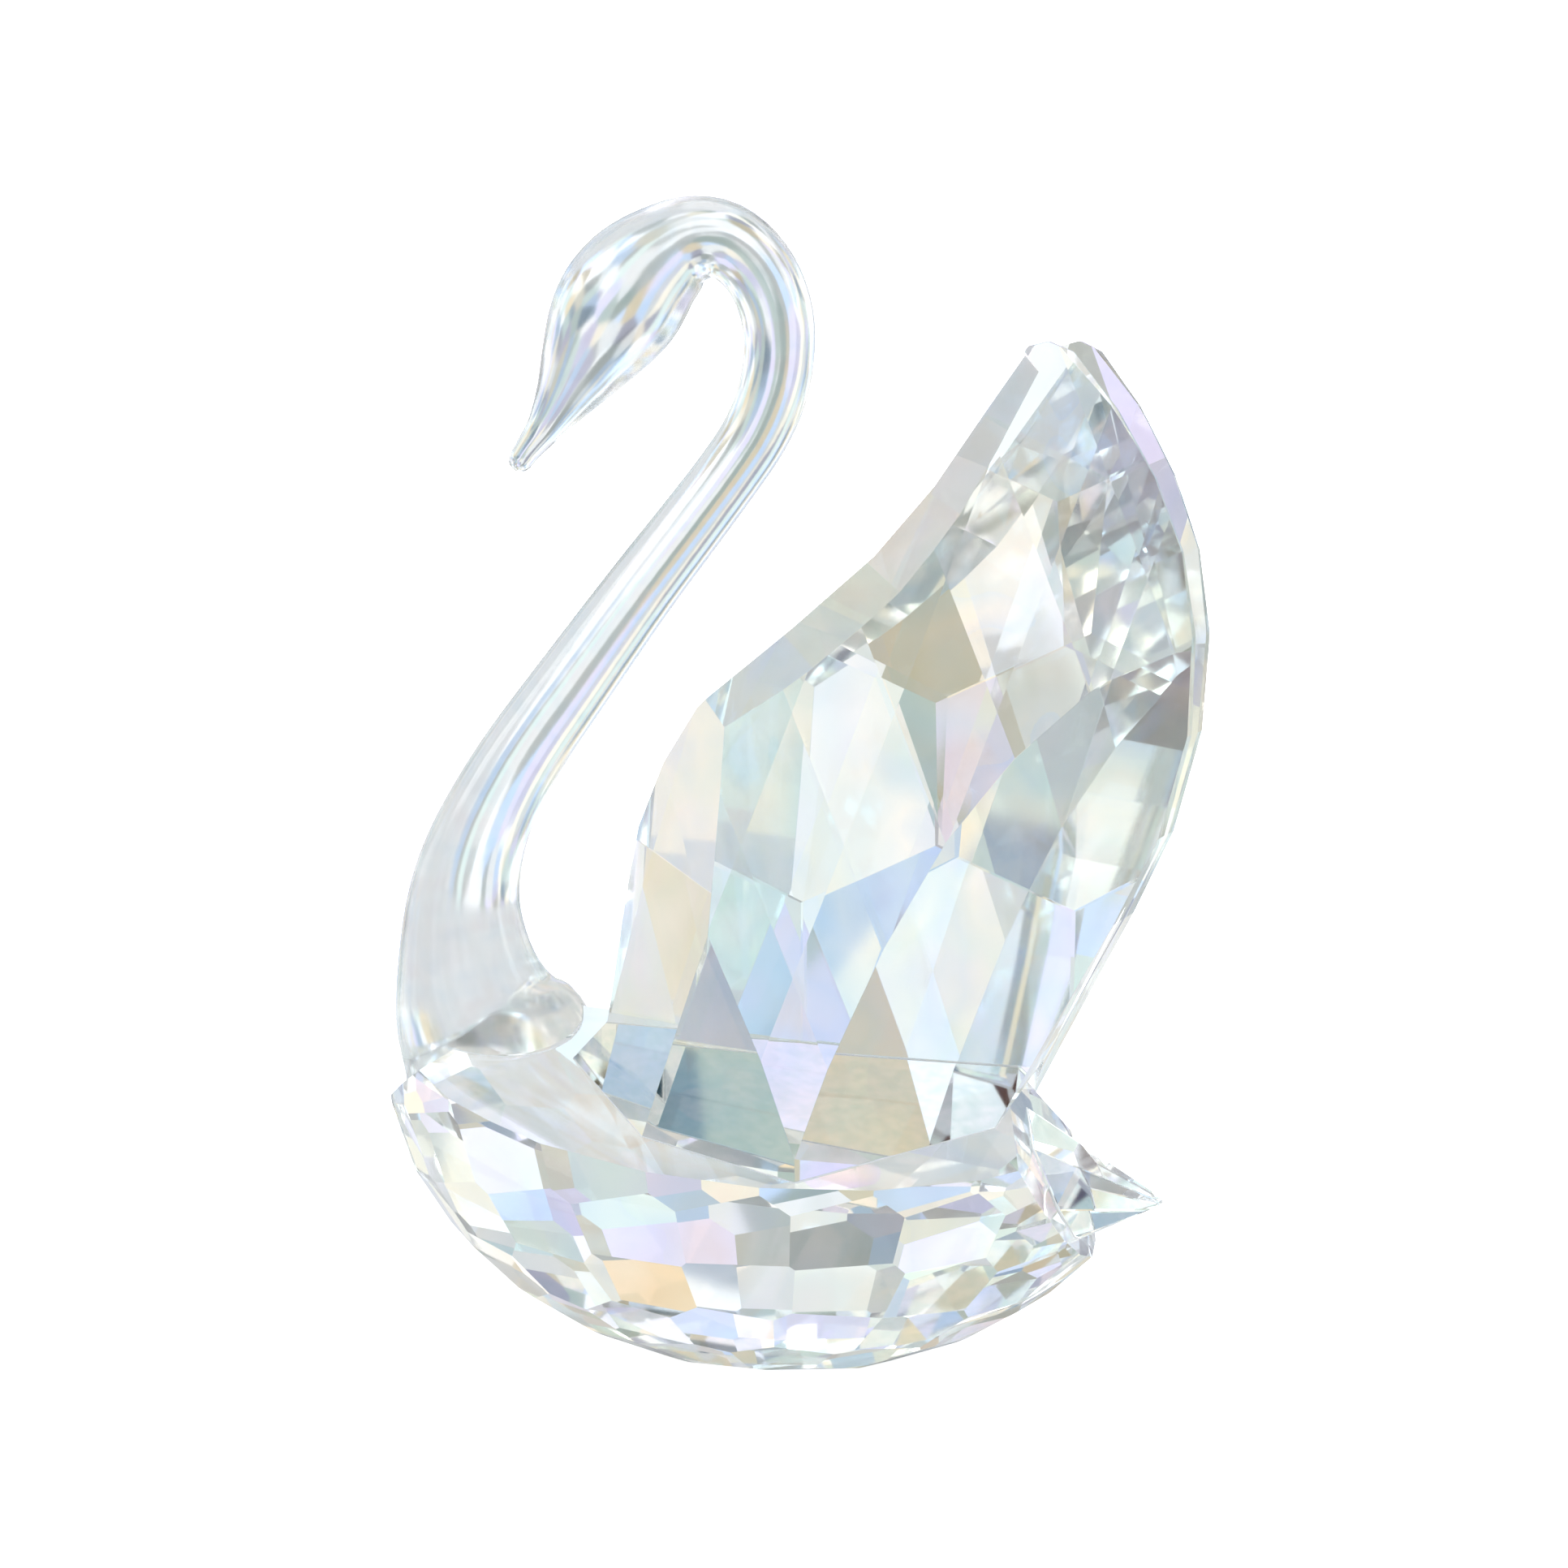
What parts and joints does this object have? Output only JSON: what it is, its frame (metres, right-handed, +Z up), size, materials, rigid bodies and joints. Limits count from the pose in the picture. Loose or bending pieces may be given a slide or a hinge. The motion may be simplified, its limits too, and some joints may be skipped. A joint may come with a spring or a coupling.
{
  "type": "crystal swan figurine",
  "caption": "Faceted crystal swan figurine with a smooth curved neck, a pair of raised leaf-shaped wings and a pointed tail.",
  "frame": {"origin": "centre of the flat facet that the swan stands on", "axes": "+Z up, +X towards the tail, the swan's left side is -Y"},
  "size_m": [0.0701, 0.0378, 0.1],
  "materials": {
    "coated_cut_crystal": "cut and polished lead-free crystal with a thin iridescent vacuum coating",
    "drawn_clear_glass": "fire-polished drawn glass",
    "clear_bonding_adhesive": "clear ultraviolet-cured adhesive film"
  },
  "bodies": {
    "root": {"body": "coated_cut_crystal", "neck_head": "drawn_clear_glass", "neck_bond": "clear_bonding_adhesive", "left_wing": "coated_cut_crystal", "left_wing_bond": "clear_bonding_adhesive", "right_wing": "coated_cut_crystal", "right_wing_bond": "clear_bonding_adhesive", "tail": "coated_cut_crystal", "tail_bond": "clear_bonding_adhesive"}
  },
  "joints": []
}
